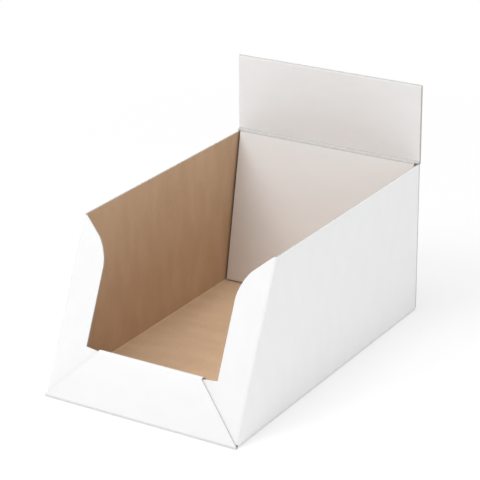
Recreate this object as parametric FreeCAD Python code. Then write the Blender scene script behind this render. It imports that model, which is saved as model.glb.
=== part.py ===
import FreeCAD, Part
import math
import os

from FreeCAD import Vector

# A counter display box folded from one sheet of board. X is the width, Y the depth (front is -Y) and Z is up.
# The sheet has an outer (printed) face and an inner face. All sizes are millimetres.

# Board
board = 1.5                # thickness of the sheet
layer_gap = 0.2            # air between layers that lie on each other
fold_inside_radius = 0.3   # inside radius of an ordinary fold
header_gap = 0.2           # air between the header's two layers

# Tray
width = 180.0              # over the side walls
depth = 304.0              # from the front fold's foot line to the back's outer face
wall_height = 136.5
front_setback = 61.5       # how far the top of the sloping front lies behind its foot

# Header and inner back
header_top = 207.0         # height of the header's top fold
header_foot_rise = 3.0     # height of the header's lower crease above the side walls
ledge_drop = 1.5           # fall of the narrow ledge between the header and the inner back
inner_back_foot = 33.0     # distance of the inner back's foot from the back's outer face
inner_back_side_gap = 1.8  # air between the inner back and each side wall
tuck_length = 14.0
tuck_corner_radius = 5.0

# Front lip
lip_height = 47.2          # along the slope
lip_mitre = 41.5           # how much narrower the lip's top is on each side
floor_flap_length = 39.0
floor_flap_side_gap = 1.0

# Front flaps and their hooked tabs
flap_width = 28.2
flap_opening_level = 47.0  # along the slope, where the flap's edge turns in to the tab
flap_shoulder_drop = 23.3  # along the slope, from the top of the fold to the shoulder's corner
flap_shoulder_radius = 33.0
tab_past_centre = 28.0     # reach of each tab beyond the middle
tab_end_slant = 7.0        # how much the tab's end edge leans
tab_end_radius = 4.0
tab_lead_in = 2.0          # taper of the hidden tab end
slot_half_width = 5.0      # half the width of the slot where the tabs cross

# Rear side flaps, and the back behind them
rear_flap_end_gap = 1.0
back_side_inset = 0.8      # how far the back's side edges lie inside the walls' outer faces

# Layers that lie on each other
lip_layers = 4             # outer lip, two tabs, inner lip
back_layers = 4            # back, two rear flaps, inner back
floor_layers = 2           # base, floor flap


# Thickness of layers that lie on each other, with the air between them
def stack(layers):
    return layers * board + (layers - 1) * layer_gap


# Derived sizes
half_width = width / 2
slope_length = math.hypot(front_setback, wall_height)
slope_cos = front_setback / slope_length
slope_sin = wall_height / slope_length
fold_radius = board + fold_inside_radius
next_layer = board + layer_gap
header_fold_radius = header_gap / 2
header_thickness = 2 * (board + header_fold_radius)
lip_offset = next_layer
inner_lip_offset = lip_offset - stack(lip_layers)
flat_half_width = half_width - fold_radius
back_half = half_width - back_side_inset
slot_start = half_width - slot_half_width
tab_foot = (next_layer + stack(2) * slope_cos) / slope_sin + layer_gap
tab_fall = (flap_opening_level - lip_height + next_layer) / (lip_mitre - flap_width)
slot_top = flap_opening_level - tab_fall * (slot_start - flap_width)
tab_middle = (tab_foot + slot_top) / 2
wall_fold_top = (wall_height + fold_radius * slope_cos) / slope_sin

tiny = 1e-6
margin = 20.0              # overrun of cutting blocks

along_slope = Vector(0, slope_cos, slope_sin)
out_of_slope = Vector(0, -slope_sin, slope_cos)
up = Vector(0, 0, 1)


# Point on the sloping front: x, distance up the slope, distance out of it
def on_slope(x, up_slope, out):
    return Vector(x, 0, 0) + along_slope * up_slope + out_of_slope * out


# Flat panel from its corners, thickened by the vector
def panel(corners, thicken):
    return Part.Face(Part.makePolygon(corners + [corners[0]])).extrude(thicken)


# Round one corner of a flat panel: the corner's edge runs through the thickness
def round_corner(solid, corner, radius):
    nearest = min(solid.Edges, key=lambda edge: (edge.CenterOfMass - corner).Length)
    return solid.makeFillet(radius, [nearest])


# Quarter-ring fold along a line. The two faces beside it are square to each other.
# The outer corner line starts at corner, run is its vector, to_first and to_second are
# unit vectors from the corner line into the two flat panels.
def square_fold(corner, run, to_first, to_second):
    centre = corner + (to_first + to_second) * fold_radius
    diagonal = (to_first + to_second).normalize()

    def arc(radius):
        start = centre - to_second * radius
        middle = centre - diagonal * radius
        end = centre - to_first * radius
        return Part.Arc(start, middle, end).toShape(), start, end

    outer, outer_start, outer_end = arc(fold_radius)
    inner, inner_start, inner_end = arc(fold_inside_radius)
    first_side = Part.LineSegment(outer_start, inner_start).toShape()
    second_side = Part.LineSegment(inner_end, outer_end).toShape()
    ring = Part.Wire(Part.__sortEdges__([outer, first_side, inner, second_side]))
    return Part.Face(ring).extrude(run)


# Direction and left-hand normal of a run in the Y-Z section
def heading(start, end):
    direction = (end - start).normalize()
    left = Vector(0, -direction.z, direction.y)
    return direction, left


# Signed turn from one heading to the next, positive to the left
def turn_between(first, second):
    cross = first.y * second.z - first.z * second.y
    dot = first.y * second.y + first.z * second.z
    return math.atan2(cross, dot)


# Flat run of the section: a trapezium, half_a wide at its start and half_b at its end
def flat_run(start, end, half_a, half_b, left):
    across = Vector(1, 0, 0)
    corners = [start - across * half_a, start + across * half_a, end + across * half_b, end - across * half_b]
    return panel(corners, left * board)


# Fold of the section at a point of its outer face, turned about the X axis
def section_fold(start, left, turn, outer_radius, half):
    side = 1 if turn > 0 else -1
    centre = start + left * (outer_radius * side)
    corners = [
        start - Vector(half, 0, 0),
        start + Vector(half, 0, 0),
        start + Vector(half, 0, 0) + left * board,
        start - Vector(half, 0, 0) + left * board,
    ]
    face = Part.Face(Part.makePolygon(corners + [corners[0]]))
    return face.revolve(centre, Vector(1, 0, 0), math.degrees(turn))


# Chain of the sheet through the middle of the box, from the floor flap to the tuck flap.
# chain_points are the corners of its outer face, runs the half widths at both ends of each flat
# between them, and folds the half width and the inside radius at each corner.
inner_lip_half = half_width - board - floor_flap_side_gap
lip_top_half = half_width - lip_mitre
inner_back_half = half_width - board - inner_back_side_gap
inner_lip_foot = (stack(floor_layers) - inner_lip_offset * slope_cos) / slope_sin
inner_lip_corner = on_slope(0, inner_lip_foot, inner_lip_offset)
base_corner = Vector(0, -lip_offset / slope_sin, 0)
ledge_back = Vector(0, depth - header_thickness, wall_height + header_foot_rise)
ledge_front = Vector(0, depth - stack(back_layers), wall_height + header_foot_rise - ledge_drop)
inner_back_corner = Vector(0, depth - inner_back_foot, next_layer)

chain_points = [
    inner_lip_corner + Vector(0, floor_flap_length, 0),
    inner_lip_corner,
    on_slope(0, lip_height, inner_lip_offset),
    on_slope(0, lip_height, lip_offset),
    base_corner,
    Vector(0, depth, 0),
    Vector(0, depth, header_top),
    Vector(0, depth - header_thickness, header_top),
    ledge_back,
    ledge_front,
    inner_back_corner,
    inner_back_corner + Vector(0, tuck_length, 0),
]
run_half_widths = [
    (inner_lip_half, inner_lip_half),      # floor flap
    (inner_lip_half, lip_top_half),        # inner lip
    (lip_top_half, lip_top_half),          # top of the lip
    (lip_top_half, half_width),            # outer lip
    (flat_half_width, flat_half_width),    # base
    (back_half, back_half),                # back, and outer layer of the header
    (half_width, half_width),              # header's top fold
    (half_width, half_width),              # inner layer of the header
    (inner_back_half, inner_back_half),    # ledge
    (inner_back_half, inner_back_half),    # inner back
    (inner_back_half, inner_back_half),    # tuck flap
]
folds = [
    (inner_lip_half, fold_inside_radius),      # floor flap to inner lip
    (lip_top_half, fold_inside_radius),        # inner lip to top of the lip
    (lip_top_half, fold_inside_radius),        # top of the lip to outer lip
    (flat_half_width, fold_inside_radius),     # outer lip to base
    (flat_half_width, fold_inside_radius),     # base to back
    (half_width, header_fold_radius),          # header's top fold, first half
    (half_width, header_fold_radius),          # header's top fold, second half
    (inner_back_half, fold_inside_radius),     # header to ledge
    (inner_back_half, fold_inside_radius),     # ledge to inner back
    (inner_back_half, fold_inside_radius),     # inner back to tuck flap
]


# Length that a fold takes from each run beside it, and its radius at the outer face
def fold_setback(turn, inside_radius):
    outer_radius = inside_radius + board if turn > 0 else inside_radius
    return outer_radius * math.tan(abs(turn) / 2), outer_radius


def folded_chain():
    runs = [heading(a, b) for a, b in zip(chain_points, chain_points[1:])]
    turns = [turn_between(a[0], b[0]) for a, b in zip(runs, runs[1:])]
    setbacks = [fold_setback(turn, radius) for turn, (_, radius) in zip(turns, folds)]
    solids = []
    for number, (direction, left) in enumerate(runs):
        before = setbacks[number - 1][0] if number > 0 else 0
        after = setbacks[number][0] if number < len(setbacks) else 0
        start = chain_points[number] + direction * before
        end = chain_points[number + 1] - direction * after
        if (end - start).dot(direction) > tiny:
            solids.append(flat_run(start, end, *run_half_widths[number], left))
        if number < len(setbacks):
            solids.append(section_fold(end, left, turns[number], setbacks[number][1], folds[number][0]))
    tuck = len(solids) - 1
    for side in (-1, 1):
        tip = chain_points[-1] + Vector(side * inner_back_half, 0, board / 2)
        solids[tuck] = round_corner(solids[tuck], tip, tuck_corner_radius)
    return solids


# Side strip that makes the header's outer layer wider than the back, above the side walls
def header_side(side):
    near_x = side * back_half
    far_x = side * half_width
    strip_top = header_top - board - header_fold_radius
    return panel(
        [
            Vector(near_x, depth, wall_height),
            Vector(far_x, depth, wall_height),
            Vector(far_x, depth, strip_top),
            Vector(near_x, depth, strip_top),
        ],
        Vector(0, -board, 0),
    )


# Side wall, its fold to the base, its sloping front fold and its rear flap. side is -1 left, 1 right.
def side_wall(side, rear_face):
    inward = Vector(-side, 0, 0)
    face_x = side * half_width
    wall_foot = fold_radius
    front_foot = (wall_foot + fold_radius * slope_cos) / slope_sin
    front_bottom = on_slope(face_x, front_foot, -fold_radius)
    front_top = on_slope(face_x, wall_fold_top, -fold_radius)
    rear_y = rear_face - fold_radius
    rear_bottom = Vector(face_x, rear_y, wall_foot)
    rear_top = Vector(face_x, rear_y, wall_height)
    wall = panel([front_bottom, rear_bottom, rear_top, front_top], inward * board)

    base_line = Vector(face_x, front_bottom.y, 0)
    base_fold = square_fold(base_line, Vector(0, rear_y - front_bottom.y, 0), inward, up)

    flap_foot = fold_radius + layer_gap
    rear_line = Vector(face_x, rear_face, flap_foot)
    rear_run = Vector(0, 0, wall_height - flap_foot)
    rear_fold = square_fold(rear_line, rear_run, inward, Vector(0, -1, 0))
    near_x = side * flat_half_width
    far_x = -side * (half_width - board - rear_flap_end_gap)
    rear_flap = panel(
        [
            Vector(near_x, rear_face, flap_foot),
            Vector(far_x, rear_face, flap_foot),
            Vector(far_x, rear_face, wall_height),
            Vector(near_x, rear_face, wall_height),
        ],
        Vector(0, -board, 0),
    )
    return [wall, base_fold, rear_fold, rear_flap]


# Front flap with its rounded shoulder, cut from a plate, and the fold that joins it to the side wall
def front_flap(side):
    face_x = side * half_width
    inward = Vector(-side, 0, 0)
    shoulder_corner = slope_length - flap_shoulder_drop
    fall = (wall_fold_top - shoulder_corner) / flap_width

    def at(distance, up_slope):
        return on_slope(side * (half_width - distance), up_slope, 0)

    edge_top = wall_fold_top - fall * fold_radius
    plate = panel(
        [
            at(fold_radius, tab_foot),
            at(slot_start, tab_foot),
            at(slot_start, slot_top),
            at(flap_width, flap_opening_level),
            at(flap_width, shoulder_corner),
            at(fold_radius, edge_top),
        ],
        out_of_slope * -board,
    )
    corner = at(flap_width, shoulder_corner) - out_of_slope * (board / 2)
    plate = round_corner(plate, corner, flap_shoulder_radius)

    fold_start = on_slope(face_x, tab_foot, 0)
    fold_run = along_slope * (wall_fold_top + margin - tab_foot)
    fold = square_fold(fold_start, fold_run, inward, out_of_slope * -1)
    trim = panel(
        [
            on_slope(face_x + side * margin, wall_fold_top + fall * margin, margin),
            on_slope(face_x - side * margin, wall_fold_top - fall * margin, margin),
            on_slope(face_x - side * margin, wall_fold_top + 2 * margin, margin),
            on_slope(face_x + side * margin, wall_fold_top + 2 * margin, margin),
        ],
        out_of_slope * (-2 * margin),
    )
    above = Part.makeBox(width + 2 * margin, depth + 2 * margin, 2 * margin,
                         Vector(-half_width - margin, -margin, wall_height))
    return [plate, fold.cut(trim).cut(above)]


# Crossing of a tab through the other's slot, and the end that lies behind the other tab
def tab_end(side, cross_low, cross_high, end_low, end_high):
    near = side * slot_half_width
    far = -side * slot_half_width
    crossing = panel(
        [
            on_slope(near, cross_low, 0),
            on_slope(far, cross_low, -next_layer),
            on_slope(far, cross_low, -next_layer - board),
            on_slope(near, cross_low, -board),
        ],
        along_slope * (cross_high - cross_low),
    )
    tip = -side * tab_past_centre
    tip_short = -side * (tab_past_centre - tab_end_slant)
    end = panel(
        [
            on_slope(far, tab_foot, -next_layer),
            on_slope(tip, end_low, -next_layer),
            on_slope(tip_short, end_high, -next_layer),
            on_slope(far, slot_top, -next_layer),
        ],
        out_of_slope * -board,
    )
    for x, level in ((tip, end_low), (tip_short, end_high)):
        corner = on_slope(x, level, -next_layer - board / 2)
        end = round_corner(end, corner, tab_end_radius)
    return [crossing, end]


def build_box():
    right_rear_face = depth - next_layer
    left_rear_face = right_rear_face - next_layer
    solids = folded_chain()
    solids += [header_side(-1), header_side(1)]
    solids += side_wall(-1, left_rear_face)
    solids += side_wall(1, right_rear_face)
    for side in (-1, 1):
        solids += front_flap(side)
    half_gap = layer_gap / 2
    end_low = tab_foot + tab_lead_in
    end_high = slot_top - tab_lead_in
    solids += tab_end(-1, tab_foot, tab_middle - half_gap, end_low, end_high)
    solids += tab_end(1, tab_middle + half_gap, slot_top, end_low, end_high)
    return solids[0].multiFuse(solids[1:]).removeSplitter(), solids


box, pieces = build_box()
middle_y = (box.BoundBox.YMin + box.BoundBox.YMax) / 2
box.translate(Vector(0, -middle_y, -box.BoundBox.ZMin))
print("solids", len(box.Solids), "valid", box.isValid(), "faces", len(box.Faces))
print("volume", round(box.Volume, 1), "sum of panels", round(sum(piece.Volume for piece in pieces), 1))
print("box", [round(v, 3) for v in (box.BoundBox.XMin, box.BoundBox.YMin, box.BoundBox.ZMin,
                                    box.BoundBox.XMax, box.BoundBox.YMax, box.BoundBox.ZMax)])

os.makedirs("parts", exist_ok=True)
box.exportStep("parts/folded_display_box.step")
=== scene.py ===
import bmesh
import bpy
import math
from mathutils import Matrix, Vector


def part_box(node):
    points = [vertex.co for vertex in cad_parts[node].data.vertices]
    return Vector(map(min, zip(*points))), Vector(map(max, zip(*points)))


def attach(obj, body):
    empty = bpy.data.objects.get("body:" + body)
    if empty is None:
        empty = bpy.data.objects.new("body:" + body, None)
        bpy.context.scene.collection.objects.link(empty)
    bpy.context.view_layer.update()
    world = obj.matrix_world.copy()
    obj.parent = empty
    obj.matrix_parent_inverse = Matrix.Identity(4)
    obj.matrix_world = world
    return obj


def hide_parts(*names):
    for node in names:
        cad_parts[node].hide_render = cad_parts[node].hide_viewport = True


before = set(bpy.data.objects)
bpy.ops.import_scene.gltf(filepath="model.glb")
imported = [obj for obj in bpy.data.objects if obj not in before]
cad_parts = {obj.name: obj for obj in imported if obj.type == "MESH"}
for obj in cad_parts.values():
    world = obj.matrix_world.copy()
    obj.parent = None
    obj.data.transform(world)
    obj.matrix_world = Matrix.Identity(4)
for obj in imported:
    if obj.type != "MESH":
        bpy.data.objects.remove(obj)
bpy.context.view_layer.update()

# Base panel. The display box is one die-cut sheet of white-faced board, 1.5 mm thick. Its outer face is drawn
# first, panel by panel and fold by fold from the base, and the sheet gets its thickness once it is all folded.
board = 0.0015
outer_fold = 0.0018          # outside radius of an ordinary fold
tight_fold = 0.0003          # inside radius of the same fold, on the side that it closes
half_width = 0.090
flat_half_width = half_width - outer_fold
back_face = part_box("folded_display_box")[1].y
front_foot = back_face - 0.304          # foot line of the sloping front's flaps
right, rearward, upward = Vector((1, 0, 0)), Vector((0, 1, 0)), Vector((0, 0, 1))
up_slope = Vector((0, 0.0615, 0.1365)).normalized()
out_of_slope = Vector((0, -up_slope.z, up_slope.y))
slope_foot = Vector((0, front_foot, 0))
lip_offset = 0.0017          # the lip lies one board in front of the flaps
base_front = front_foot - lip_offset / up_slope.z + outer_fold * math.tan((-rearward).angle(up_slope) / 2)
base_rear = back_face - outer_fold


def near(a, b):
    return abs(a - b) < 0.00002


def pick(kind, test):
    """Leaves only the edges, faces or points of the sheet picked whose every point passes the test."""
    bpy.ops.mesh.select_mode(type={"edges": "EDGE", "faces": "FACE", "points": "VERT"}[kind])
    bpy.ops.mesh.select_all(action="DESELECT")
    mesh = bmesh.from_edit_mesh(sheet.data)
    found = []
    for part in {"edges": mesh.edges, "faces": mesh.faces, "points": mesh.verts}[kind]:
        if all(test(point.co) for point in ([part] if kind == "points" else part.verts)):
            part.select_set(True)
            found.append(part)
    bmesh.update_edit_mesh(sheet.data)
    if not found:
        raise RuntimeError("no part of the sheet is there")


def extend(way):
    """Draws the board on from the picked edge."""
    bpy.ops.mesh.extrude_region_move(TRANSFORM_OT_translate={"value": way})


def shift(way):
    bpy.ops.transform.translate(value=way)


def cut(point, across, trim=False):
    bpy.ops.mesh.bisect(plane_co=point, plane_no=across, clear_outer=trim)


def fold(way, new_way, radius, steps=6):
    """Bends the board on from the picked edge, from one way to the next, round a fold of this radius."""
    mesh = bmesh.from_edit_mesh(sheet.data)
    ends = [point.co for point in mesh.verts if point.select]
    axis = way.cross(new_way).normalized()
    centre = sum(ends, Vector()) / len(ends) + axis.cross(way) * radius
    bpy.ops.mesh.spin(steps=steps, angle=way.angle(new_way), center=centre, axis=-axis)


def taken(way, new_way, radius):
    """Length that a fold takes from the panel on each side of it."""
    return radius * math.tan(way.angle(new_way) / 2)


bpy.ops.object.select_all(action="DESELECT")
bpy.ops.mesh.primitive_plane_add(size=2 * flat_half_width, location=(0, 0, 0))
sheet = bpy.context.object
sheet.name = "folded_board"
bpy.ops.object.mode_set(mode="EDIT")
pick("points", lambda p: p.y < 0)
shift((0, base_front + flat_half_width, 0))
pick("points", lambda p: p.y > 0)
shift((0, base_rear - flat_half_width, 0))

# Side walls, folded up from the base's long sides. Each one's front edge leans back with the sloping front, and
# starts a little behind the base's front corner, which leaves the small hole seen at the foot of the mitre.
wall_height = 0.1365
tab_foot = 0.00351           # how far up the slope the front flap starts
wall_front = front_foot + outer_fold * (up_slope.y * (1 + up_slope.y) / up_slope.z + up_slope.z)
flap_start = slope_foot + up_slope * tab_foot - out_of_slope * outer_fold
layer_step = 0.0017          # one board and the air beside it
rear_flap_face = {1: back_face - layer_step, -1: back_face - 2 * layer_step}      # the right one lies behind
# The mark on the base's folds is painted shade on the coat.
crease_margin = 0.0006       # how far a fold's mark runs on into the base
base_crease_start = flat_half_width - crease_margin
for y in (wall_front, rear_flap_face[-1] - outer_fold, rear_flap_face[1] - outer_fold):
    pick("faces", lambda p: near(p.z, 0))
    cut((0, y, 0), rearward)
for side in (-1, 1):
    pick("faces", lambda p: near(p.z, 0))
    cut((side * base_crease_start, 0, 0), right)
for side in (-1, 1):
    outward = right * side
    wall_rear = rear_flap_face[side] - outer_fold
    pick("edges", lambda p: near(p.x, side * flat_half_width)
         and wall_front - 1e-5 < p.y < wall_rear + 1e-5)
    fold(outward, upward, outer_fold)
    extend(upward * (flap_start.z - outer_fold))
    pick("points", lambda p: near(p.x, side * half_width) and near(p.z, flap_start.z)
         and near(p.y, wall_front))
    shift(rearward * (flap_start.y - wall_front))
    pick("edges", lambda p: near(p.x, side * half_width) and near(p.z, flap_start.z))
    extend(upward * (wall_height - flap_start.z))
    pick("points", lambda p: near(p.x, side * half_width) and near(p.z, wall_height)
         and near(p.y, flap_start.y))
    shift(rearward * ((wall_height - flap_start.z) * up_slope.y / up_slope.z))

# Rear side flaps, folded in behind the tray from each wall's rear edge, right across to the other wall. They
# stand loose between the back and the inner back, one behind the other.
rear_flap_end_gap = 0.001
for side in (-1, 1):
    outward = right * side
    pick("edges", lambda p: near(p.x, side * half_width) and near(p.y, rear_flap_face[side] - outer_fold))
    fold(rearward, -outward, outer_fold)
    extend(-outward * (flat_half_width + half_width - board - rear_flap_end_gap))

# Front flaps, folded in from the walls' leaning edges. The shoulder falls from the wall's top and is rounded,
# the opening's edge runs down to the lip, and a tab goes on across the front, hooked through the other one.
flap_edge = half_width - 0.0282
opening_level = 0.0470       # levels are lengths up the slope
shoulder_level = 0.12642
shoulder_top = (wall_height + outer_fold * up_slope.y) / up_slope.z
slot = 0.0050                # half the width of the slots where the tabs cross
slot_top = 0.0406
tab_middle = (tab_foot + slot_top) / 2
tab_reach = 0.028            # how far each tab goes on past the middle
tab_end_slant = 0.007
tab_lead_in = 0.002
tab_corner = 0.0035
shoulder_corner = 0.01525    # how far back from the corner the shoulder's rounding starts


def level(p):
    """How far up the sloping front a point lies."""
    return (p - slope_foot).dot(up_slope)


def out(p):
    """How far in front of the flaps' outer face a point lies."""
    return (p - slope_foot).dot(out_of_slope)


for side in (-1, 1):
    outward = right * side

    def on_flap(p):
        return p.x * side > -0.03 and near(out(p), 0) and level(p) > tab_foot - 1e-5

    def on_flap_or_fold(p):
        return (p.x * side > flap_edge - 1e-5 and out(p) > -outer_fold - 1e-5
                and level(p) > tab_foot - 1e-5)

    def on_hook(p):
        return near(out(p), -lip_offset) and near(p.x * side, -tab_reach)

    pick("edges", lambda p: near(p.x, side * half_width) and near(out(p), -outer_fold)
         and level(p) > tab_foot - 1e-5)
    fold(out_of_slope, -outward, outer_fold)
    extend(-outward * (flat_half_width - flap_edge))
    shoulder_end = slope_foot + outward * flap_edge + up_slope * shoulder_level
    shoulder_start = slope_foot + outward * half_width + up_slope * shoulder_top
    pick("faces", on_flap_or_fold)
    cut(shoulder_start, (shoulder_end - shoulder_start).cross(out_of_slope) * side, trim=True)
    pick("faces", on_flap_or_fold)
    cut((0, 0, wall_height), upward, trim=True)
    pick("faces", on_flap)
    cut(slope_foot + up_slope * opening_level, up_slope)
    pick("points", lambda p: on_flap(p) and near(p.x, side * flap_edge)
         and level(p) > opening_level + 0.01)
    bpy.ops.mesh.bevel(affect="VERTICES", offset=shoulder_corner, segments=18, profile=0.5)

    # The tab. Half its height crosses the middle, steps in behind the other tab and ends in a hook as tall as
    # the tab itself.
    pick("edges", lambda p: on_flap(p) and near(p.x, side * flap_edge)
         and level(p) < opening_level + 1e-5)
    extend(-outward * (flap_edge - slot))
    pick("points", lambda p: near(p.x, side * slot) and near(out(p), 0)
         and near(level(p), opening_level))
    shift(up_slope * (slot_top - opening_level))
    crossing_edge = tab_middle + side * 0.0001
    pick("faces", lambda p: on_flap(p) and p.x * side < flap_edge + 1e-5
         and level(p) < opening_level + 1e-5)
    cut(slope_foot + up_slope * crossing_edge, up_slope)
    half = (tab_foot, crossing_edge) if side < 0 else (crossing_edge, slot_top)
    pick("edges", lambda p: near(p.x, side * slot) and near(out(p), 0)
         and half[0] - 1e-5 < level(p) < half[1] + 1e-5)
    extend(-outward * 2 * slot - out_of_slope * lip_offset)
    extend(-outward * (tab_reach - slot))
    pick("edges", lambda p: near(out(p), -lip_offset) and near(level(p), crossing_edge)
         and p.x * side < -slot + 1e-5)
    extend(up_slope * ((slot_top if side < 0 else tab_foot) - crossing_edge))
    pick("points", lambda p: on_hook(p) and level(p) > tab_middle + 0.01)
    shift(outward * tab_end_slant - up_slope * tab_lead_in)
    pick("points", lambda p: on_hook(p) and level(p) < tab_middle - 0.01)
    shift(up_slope * tab_lead_in)
    pick("points", lambda p: near(out(p), -lip_offset) and p.x * side < -0.02
         and abs(level(p) - tab_middle) > 0.01)
    bpy.ops.mesh.bevel(affect="VERTICES", offset=tab_corner, segments=6, profile=0.5)

# Rolled front lip. The outer lip folds up from the base's front edge in front of the hooked tabs, turns over
# them at the top, and comes down behind them as the inner lip, whose floor flap lies on the base.
lip_height = 0.0472          # up the slope, as the flaps' levels are
lip_mitre = 0.0415           # how much narrower the lip's top is at each side
lip_layers = 0.0066          # four boards with the air between them
lip_corner_end = front_foot + 0.0022      # up to here the base keeps its full width beside the mitre
floor_flap = 0.039
lip_start = outer_fold * math.tan((-rearward).angle(up_slope) / 2) - lip_offset / up_slope.z * up_slope.y
lip_flat_top = lip_height - outer_fold
inner_lip_out = lip_offset - lip_layers
floor_flap_top = 0.0032
inner_lip_foot = ((floor_flap_top - inner_lip_out * up_slope.y) / up_slope.z
                  + taken(-up_slope, rearward, tight_fold))
inner_half_width = half_width - board - 0.001
pick("faces", lambda p: near(p.z, 0) and p.y < wall_front + 1e-5)
cut((0, lip_corner_end, 0), rearward)
for side in (-1, 1):
    pick("edges", lambda p: near(p.x, side * flat_half_width) and near(p.z, 0)
         and p.y < lip_corner_end + 0.0001)
    extend(right * side * outer_fold)
pick("edges", lambda p: near(p.y, base_front) and near(p.z, 0))
fold(-rearward, up_slope, outer_fold)
extend(up_slope * (lip_flat_top - lip_start))
for side in (-1, 1):
    pick("points", lambda p: near(out(p), lip_offset) and near(level(p), lip_flat_top)
         and p.x * side > 0)
    shift(right * -side * lip_mitre)
pick("edges", lambda p: near(out(p), lip_offset) and near(level(p), lip_flat_top))
fold(up_slope, -out_of_slope, outer_fold)
extend(-out_of_slope * (lip_layers - 2 * outer_fold))
fold(-out_of_slope, -up_slope, outer_fold)
extend(-up_slope * (lip_flat_top - inner_lip_foot))
for side in (-1, 1):
    pick("points", lambda p: near(out(p), inner_lip_out) and near(level(p), inner_lip_foot)
         and p.x * side > 0)
    shift(right * side * (inner_half_width - half_width + lip_mitre))
pick("edges", lambda p: near(out(p), inner_lip_out) and near(level(p), inner_lip_foot))
fold(-up_slope, rearward, tight_fold)
extend(rearward * (floor_flap - taken(-up_slope, rearward, tight_fold)))

# Back panel and header. The back folds up behind the rear flaps and runs on as the header, which turns over at
# its top edge and comes down again in front of itself.
header_top = 0.2070
back_side_inset = 0.0008     # the back is this much narrower than the header on each side
header_fold = 0.0016
header_front = back_face - 2 * header_fold
ledge_back = Vector((0, header_front, 0.1395))               # where the ledge leaves the header
ledge_front = Vector((0, back_face - 0.0066, 0.1380))        # where it turns down as the inner back
inner_back_foot = Vector((0, back_face - 0.033, 0.0017))
ledge_way = (ledge_front - ledge_back).normalized()
inner_back_way = (inner_back_foot - ledge_front).normalized()
inner_back_half_width = half_width - board - 0.0018
pick("edges", lambda p: near(p.y, base_rear) and near(p.z, 0))
fold(rearward, upward, outer_fold)
extend(upward * (wall_height - outer_fold))
extend(upward * (header_top - header_fold - wall_height))
for side in (-1, 1):
    pick("edges", lambda p: near(p.y, back_face) and near(p.x, side * flat_half_width))
    extend(right * side * (outer_fold - back_side_inset))
    pick("edges", lambda p: near(p.y, back_face) and near(p.x, side * (half_width - back_side_inset))
         and p.z > wall_height - 1e-5)
    extend(right * side * back_side_inset)
pick("edges", lambda p: near(p.y, back_face) and near(p.z, header_top - header_fold))
fold(upward, -rearward, header_fold)
fold(-rearward, -upward, header_fold)
header_foot = ledge_back.z + taken(-upward, ledge_way, tight_fold)
extend(-upward * (header_top - header_fold - header_foot))

# Inner back. From the header's foot a narrow ledge as wide as the header steps forward over the rear flaps, and
# the inner back hangs from it, leaning forward to the floor between the walls, where its tuck flap turns back.
tuck_flap = 0.014
tuck_corner = 0.005
for side in (-1, 1):
    pick("faces", lambda p: near(p.y, header_front))
    cut((side * inner_back_half_width, 0, 0), right)
pick("edges", lambda p: near(p.y, header_front) and near(p.z, header_foot))
fold(-upward, ledge_way, tight_fold)
extend(ledge_way * ((ledge_front - ledge_back).length - taken(-upward, ledge_way, tight_fold)
                    - taken(ledge_way, inner_back_way, outer_fold)))
ledge_end = ledge_front - ledge_way * taken(ledge_way, inner_back_way, outer_fold)
pick("edges", lambda p: near(p.y, ledge_end.y) and near(p.z, ledge_end.z)
     and abs(p.x) < inner_back_half_width + 1e-5)
fold(ledge_way, inner_back_way, outer_fold)
extend(inner_back_way * ((inner_back_foot - ledge_front).length
                         - taken(ledge_way, inner_back_way, outer_fold)
                         - taken(inner_back_way, rearward, outer_fold)))
fold(inner_back_way, rearward, outer_fold)
extend(rearward * (tuck_flap - taken(inner_back_way, rearward, outer_fold)))
tuck_end = inner_back_foot.y + tuck_flap
pick("points", lambda p: near(p.y, tuck_end) and near(p.z, inner_back_foot.z))
bpy.ops.mesh.bevel(affect="VERTICES", offset=tuck_corner, segments=6, profile=0.5)

# The board itself. The sheet is laid flat for its grain, its folds and ledge are marked with crease wear and
# painted shade, and it gets its thickness inwards: white clay coat outside, bare kraft inside, and the raw
# fluted edge wherever the knife cut it.
bpy.ops.mesh.select_mode(type="FACE")
bpy.ops.mesh.select_all(action="SELECT")
bpy.ops.mesh.flip_normals()
bpy.ops.uv.unwrap(method="CONFORMAL", margin=0.0)
bpy.ops.object.mode_set(mode="OBJECT")

flat_places = sheet.data.uv_layers.active.data
base_points = {}
for loop in sheet.data.loops:
    point = sheet.data.vertices[loop.vertex_index].co
    if near(point.z, 0) and near(point.x, -flat_half_width) and near(point.y, wall_front):
        base_points["left"] = flat_places[loop.index].uv.copy()
    if near(point.z, 0) and near(point.x, flat_half_width) and near(point.y, wall_front):
        base_points["right"] = flat_places[loop.index].uv.copy()
    if near(point.z, 0) and near(point.x, -flat_half_width) and near(point.y, base_rear):
        base_points["rear"] = flat_places[loop.index].uv.copy()
across = base_points["right"] - base_points["left"]
along = base_points["rear"] - base_points["left"]
true_size = 2 * flat_half_width / across.length
across_way = across.normalized()
along_way = Vector((-across_way.y, across_way.x))
if along.dot(along_way) < 0:
    along_way = -along_way
for place in flat_places:
    moved = (place.uv - base_points["left"]) * true_size
    place.uv = (moved.dot(across_way), moved.dot(along_way))

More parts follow.
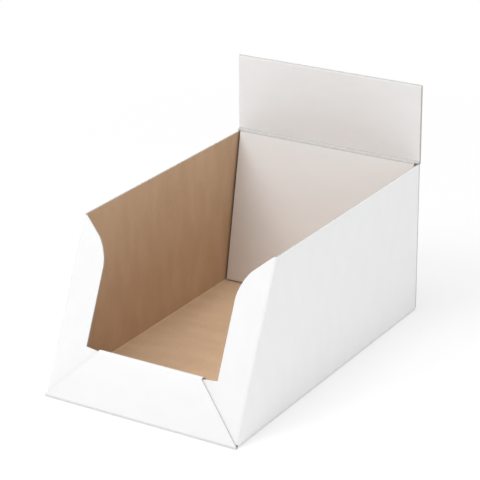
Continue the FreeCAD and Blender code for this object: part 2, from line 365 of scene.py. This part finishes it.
panel_ways = [right, rearward, upward, up_slope, out_of_slope, ledge_way.cross(right),
              inner_back_way.cross(right)]
# The mark's values: painted shade for the header's top fold, the ledge and the base's folds, and a little real
# crease wear on the other folds.
header_top_painted_shade, ledge_painted_shade, base_fold_painted_shade, fold_wear = 0.90, 0.95, 0.5, 0.15
fold_wear_and_painted_shade = sheet.data.attributes.new("fold_wear_and_painted_shade", "FLOAT", "FACE")
for face in sheet.data.polygons:
    at = face.center
    folded = max(abs(face.normal.dot(way)) for way in panel_ways) < 0.9990 and face.area < 1e-3
    on_ledge = (header_front - 0.0060 < at.y < header_front + 1e-4
                and wall_height - 0.0005 < at.z < header_foot and abs(at.x) < half_width)
    beside_base_fold = abs(at.x) > base_crease_start and (
        at.z < 0.0001 or near(abs(at.x), half_width) and at.z < flap_start.z)
    # The header's top fold gets painted shade on its coat.
    if at.z > header_top - 0.6 * header_fold:
        fold_wear_and_painted_shade.data[face.index].value = header_top_painted_shade
    # The ledge gets painted shade on its coat.
    elif on_ledge:
        fold_wear_and_painted_shade.data[face.index].value = ledge_painted_shade
    # The base's folds get painted shade on their coat, darkening the line where the box meets the floor.
    elif at.z < 0.003 and (folded or beside_base_fold):
        fold_wear_and_painted_shade.data[face.index].value = base_fold_painted_shade
    elif folded:
        fold_wear_and_painted_shade.data[face.index].value = fold_wear

sheet.vertex_groups.new(name="kraft_side")
thickness = sheet.modifiers.new("board_thickness", "SOLIDIFY")
thickness.thickness = board
thickness.offset = -1
thickness.use_even_offset = True
thickness.use_quality_normals = True
thickness.material_offset = 1
thickness.material_offset_rim = 2
thickness.shell_vertex_group = "kraft_side"
white = bpy.data.materials.new("white_coat")
kraft = bpy.data.materials.new("bare_kraft")
cut_edge = bpy.data.materials.new("cut_edge")
for material in (white, kraft, cut_edge):
    material.use_nodes = True
    sheet.data.materials.append(material)
bpy.ops.object.modifier_apply(modifier="board_thickness")
through_board = sheet.data.attributes.new("through_board", "FLOAT", "POINT")
for point in sheet.data.vertices:
    through_board.data[point.index].value = sum(group.weight for group in point.groups)
sheet.vertex_groups.clear()


def paper_grain(material, length, breadth, low, high, detail=2.0):
    """Streaks or clouds in the paper, so long and so broad on the flat sheet, as a number from low to high."""
    nodes, links = material.node_tree.nodes, material.node_tree.links
    flat_sheet = nodes.new("ShaderNodeUVMap")
    stretch = nodes.new("ShaderNodeMapping")
    stretch.inputs["Scale"].default_value = (1 / length, 1 / breadth, 1)
    grain = nodes.new("ShaderNodeTexNoise")
    grain.inputs["Scale"].default_value = 1.0
    grain.inputs["Detail"].default_value = detail
    spread = nodes.new("ShaderNodeMapRange")
    spread.inputs["From Min"].default_value = 0.3
    spread.inputs["From Max"].default_value = 0.7
    spread.inputs["To Min"].default_value = low
    spread.inputs["To Max"].default_value = high
    links.new(flat_sheet.outputs["UV"], stretch.inputs["Vector"])
    links.new(stretch.outputs["Vector"], grain.inputs["Vector"])
    links.new(grain.outputs["Fac"], spread.inputs["Value"])
    return spread.outputs["Result"]


def joined(material, first, second, operation="MULTIPLY"):
    """One number made from two, each of them a value or another step's result."""
    step = material.node_tree.nodes.new("ShaderNodeMath")
    step.operation = operation
    for socket, value in zip(step.inputs, (first, second)):
        if isinstance(value, (int, float)):
            socket.default_value = value
        else:
            material.node_tree.links.new(value, socket)
    return step.outputs["Value"]


def written_on(material, name):
    """The number that the sheet carries under this name."""
    mark = material.node_tree.nodes.new("ShaderNodeAttribute")
    mark.attribute_name = name
    return mark.outputs["Fac"]


def shade_between(material, amount, dark, light):
    """A colour from dark to light, by an amount from 0 to 1."""
    blend = material.node_tree.nodes.new("ShaderNodeMix")
    blend.data_type = "RGBA"
    blend.inputs["A"].default_value = (*dark, 1)
    blend.inputs["B"].default_value = (*light, 1)
    material.node_tree.links.new(amount, blend.inputs["Factor"])
    return blend.outputs["Result"]


def finish_paper(material, colour, roughness, relief, depth):
    """Gives the paper its colour, its roughness and a relief this many metres deep."""
    nodes, links = material.node_tree.nodes, material.node_tree.links
    paper = nodes["Principled BSDF"]
    bumps = nodes.new("ShaderNodeBump")
    bumps.inputs["Distance"].default_value = depth
    links.new(colour, paper.inputs["Base Color"])
    links.new(roughness, paper.inputs["Roughness"])
    links.new(relief, bumps.inputs["Height"])
    links.new(bumps.outputs["Normal"], paper.inputs["Normal"])


# The clay coat is nearly smooth and even. It greys a little where a crease cracks it, and shows the flutes very
# faintly. The header's top fold, the ledge and the base's folds are greyed much more, as painted shade.
coat_shade = joined(white, paper_grain(white, 0.030, 0.012, 0.955, 0.995),
                    paper_grain(white, 0.0012, 0.0005, 0.99, 1.0))
hard_wear_and_painted_shade = joined(white, written_on(white, "fold_wear_and_painted_shade"), 2.0, "POWER")
coat_wear_and_painted_shade = joined(white, hard_wear_and_painted_shade, paper_grain(white, 0.004, 0.002, 0.85, 1.05))
coat_shade = joined(white, coat_shade, joined(white, coat_wear_and_painted_shade, 0.95), "SUBTRACT")
coat_gloss = joined(white, paper_grain(white, 0.006, 0.003, 0.44, 0.54),
                    joined(white, coat_wear_and_painted_shade, 0.12), "ADD")
coat_relief = joined(white, paper_grain(white, 0.05, 0.0016, 0, 1),
                     paper_grain(white, 0.0004, 0.0003, 0, 0.5), "ADD")
# The coat reaches its dark colour mostly under the painted shade of the header's top fold, the ledge and the
# base's folds.
finish_paper(white, shade_between(white, coat_shade, (0.470, 0.452, 0.438), (0.874, 0.875, 0.878)),
             coat_gloss, coat_relief, 0.000012)

# Bare kraft is cloudy, streaked along the flutes and flecked with darker fibres. A crease rubs it lighter.
kraft_shade = joined(kraft, paper_grain(kraft, 0.045, 0.014, 0.36, 0.62, 1.0),
                     paper_grain(kraft, 0.007, 0.0007, -0.12, 0.14, 3.0), "ADD")
kraft_shade = joined(kraft, kraft_shade, paper_grain(kraft, 0.0012, 0.0009, -0.12, 0.12), "ADD")
flecks = joined(kraft, paper_grain(kraft, 0.0032, 0.0010, 0, 1), 0.86, "SUBTRACT")
flecks = joined(kraft, flecks, 0.0, "MAXIMUM")
kraft_shade = joined(kraft, kraft_shade, joined(kraft, flecks, 2.2), "SUBTRACT")
kraft_shade = joined(kraft, kraft_shade, joined(kraft, written_on(kraft, "fold_wear_and_painted_shade"), 1.1), "ADD")
kraft_relief = joined(kraft, paper_grain(kraft, 0.0040, 0.0005, 0, 1, 3.0),
                      paper_grain(kraft, 0.05, 0.0016, 0, 0.8), "ADD")
finish_paper(kraft, shade_between(kraft, kraft_shade, (0.485, 0.318, 0.192), (0.668, 0.484, 0.326)),
             paper_grain(kraft, 0.004, 0.001, 0.74, 0.92), kraft_relief, 0.000035)

# The cut edge shows the board's layers: white liner, wavy flutes with painted shade in the air between them,
# and brown liner.
layer = written_on(cut_edge, "through_board")
flat_sheet = cut_edge.node_tree.nodes.new("ShaderNodeUVMap")
along_board = cut_edge.node_tree.nodes.new("ShaderNodeSeparateXYZ")
cut_edge.node_tree.links.new(flat_sheet.outputs["UV"], along_board.inputs["Vector"])
flute_pitch = 0.0032
flute_swing, flute_half_breadth, liner_share = 0.30, 0.13, 0.16      # as shares of the board's thickness
flute = joined(cut_edge, joined(cut_edge, along_board.outputs["Y"], 2 * math.pi / flute_pitch), 0, "SINE")
flute_place = joined(cut_edge, joined(cut_edge, flute, flute_swing), 0.5, "ADD")
off_flute = joined(cut_edge, flute_place, layer, "SUBTRACT")
air = joined(cut_edge, joined(cut_edge, off_flute, 0, "ABSOLUTE"), flute_half_breadth, "GREATER_THAN")
liners = joined(cut_edge, joined(cut_edge, layer, liner_share, "LESS_THAN"),
                joined(cut_edge, layer, 1 - liner_share, "GREATER_THAN"), "ADD")
air = joined(cut_edge, air, joined(cut_edge, 1.0, liners, "SUBTRACT"))
edge_shade = joined(cut_edge, joined(cut_edge, 1.0, joined(cut_edge, layer, 0.50), "SUBTRACT"),
                    paper_grain(cut_edge, 0.0015, 0.0008, 0.88, 1.0))
# Painted shade: the air between the flutes is darkened.
edge_shade = joined(cut_edge, edge_shade, joined(cut_edge, air, 0.20), "SUBTRACT")
edge_shade = joined(cut_edge, edge_shade, 0.0, "MAXIMUM")
finish_paper(cut_edge, shade_between(cut_edge, edge_shade, (0.14, 0.11, 0.085), (0.86, 0.855, 0.845)),
             paper_grain(cut_edge, 0.001, 0.001, 0.85, 0.95),
             joined(cut_edge, paper_grain(cut_edge, 0.0006, 0.0006, 0, 0.4), air, "SUBTRACT"), 0.00006)

bpy.ops.object.shade_smooth_by_angle(angle=math.radians(35))
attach(sheet, "root")
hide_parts("folded_display_box")

# Floor: plain white, so wide that its edge lies outside every view. It keeps the box's soft shadow.
bpy.ops.mesh.primitive_plane_add(size=12, location=(0, 0, 0))
floor = bpy.context.object
floor.name = "floor"
floor_paint = bpy.data.materials.new("floor_white")
floor_paint.use_nodes = True
nodes, links = floor_paint.node_tree.nodes, floor_paint.node_tree.links
matt_white = nodes["Principled BSDF"]
matt_white.inputs["Base Color"].default_value = (0.92, 0.92, 0.92, 1)
matt_white.inputs["Roughness"].default_value = 1.0
seen_white = nodes.new("ShaderNodeEmission")
seen_white.inputs["Strength"].default_value = 1.0
ray = nodes.new("ShaderNodeLightPath")
place = nodes.new("ShaderNodeTexCoord")
away = nodes.new("ShaderNodeVectorMath")
away.operation = "LENGTH"
fade = nodes.new("ShaderNodeMapRange")
fade.inputs["From Min"].default_value = 0.25
fade.inputs["From Max"].default_value = 0.80
fade.inputs["To Min"].default_value = 0.55
fade.inputs["To Max"].default_value = 1.0
seen_share = nodes.new("ShaderNodeMath")
seen_share.operation = "MULTIPLY"
blend_white = nodes.new("ShaderNodeMixShader")
links.new(place.outputs["Object"], away.inputs[0])
links.new(away.outputs["Value"], fade.inputs["Value"])
links.new(fade.outputs["Result"], seen_share.inputs[1])
links.new(ray.outputs["Is Camera Ray"], seen_share.inputs[0])
links.new(seen_share.outputs["Value"], blend_white.inputs["Fac"])
links.new(matt_white.outputs["BSDF"], blend_white.inputs[1])
links.new(seen_white.outputs["Emission"], blend_white.inputs[2])
links.new(blend_white.outputs["Shader"], nodes["Material Output"].inputs["Surface"])
floor.data.materials.append(floor_paint)

# Studio light: a dim pale surround that the camera sees as white, soft lamps overhead and high to the front
# left, and two low ones to the right, which reach the box's outside more than its inside.
world = bpy.data.worlds.new("surround")
bpy.context.scene.world = world
world.use_nodes = True
nodes, links = world.node_tree.nodes, world.node_tree.links
seen_directly = nodes.new("ShaderNodeLightPath")
surround_level = nodes.new("ShaderNodeMapRange")
surround_level.inputs["To Min"].default_value = 0.38
surround_level.inputs["To Max"].default_value = 1.0
nodes["Background"].inputs["Color"].default_value = (1, 1, 1, 1)
links.new(seen_directly.outputs["Is Camera Ray"], surround_level.inputs["Value"])
links.new(surround_level.outputs["Result"], nodes["Background"].inputs["Strength"])
box_middle = Vector((0, 0, 0.08))
for place, size, watts in (((-1.113, -1.590, 2.235), 1.6, 36.8), ((0.0, -0.101, 2.978), 1.6, 41.0),
                           ((2.771, 0.489, 0.782), 1.2, 15.0), ((2.473, -1.428, 0.584), 1.2, 5.0)):
    bpy.ops.object.light_add(type="AREA", location=place)
    lamp = bpy.context.object
    lamp.data.size = size
    lamp.data.energy = watts
    lamp.rotation_euler = (box_middle - lamp.location).to_track_quat("-Z", "Y").to_euler()

# Camera: the photograph's viewpoint, from the box's right front and above, with a long lens. Its place and turn
# come from lines fitted to the box's straight edges.
camera_data = bpy.data.cameras.new("camera")
camera = bpy.data.objects.new("camera", camera_data)
bpy.context.scene.collection.objects.link(camera)
camera_data.sensor_width = 36
camera_data.lens = 150.09
camera.location = (0.80203, -1.29968, 0.72220)
turn_round = Matrix.Rotation(math.radians(31.6274), 3, "Z")
look_down = Matrix.Rotation(math.radians(90 - 22.14), 3, "X")
tilt = Matrix.Rotation(math.radians(-0.4778), 3, "Z")
camera.rotation_euler = (turn_round @ look_down @ tilt).to_euler()
bpy.context.scene.camera = camera

view = bpy.context.scene.view_settings
view.view_transform = "Standard"
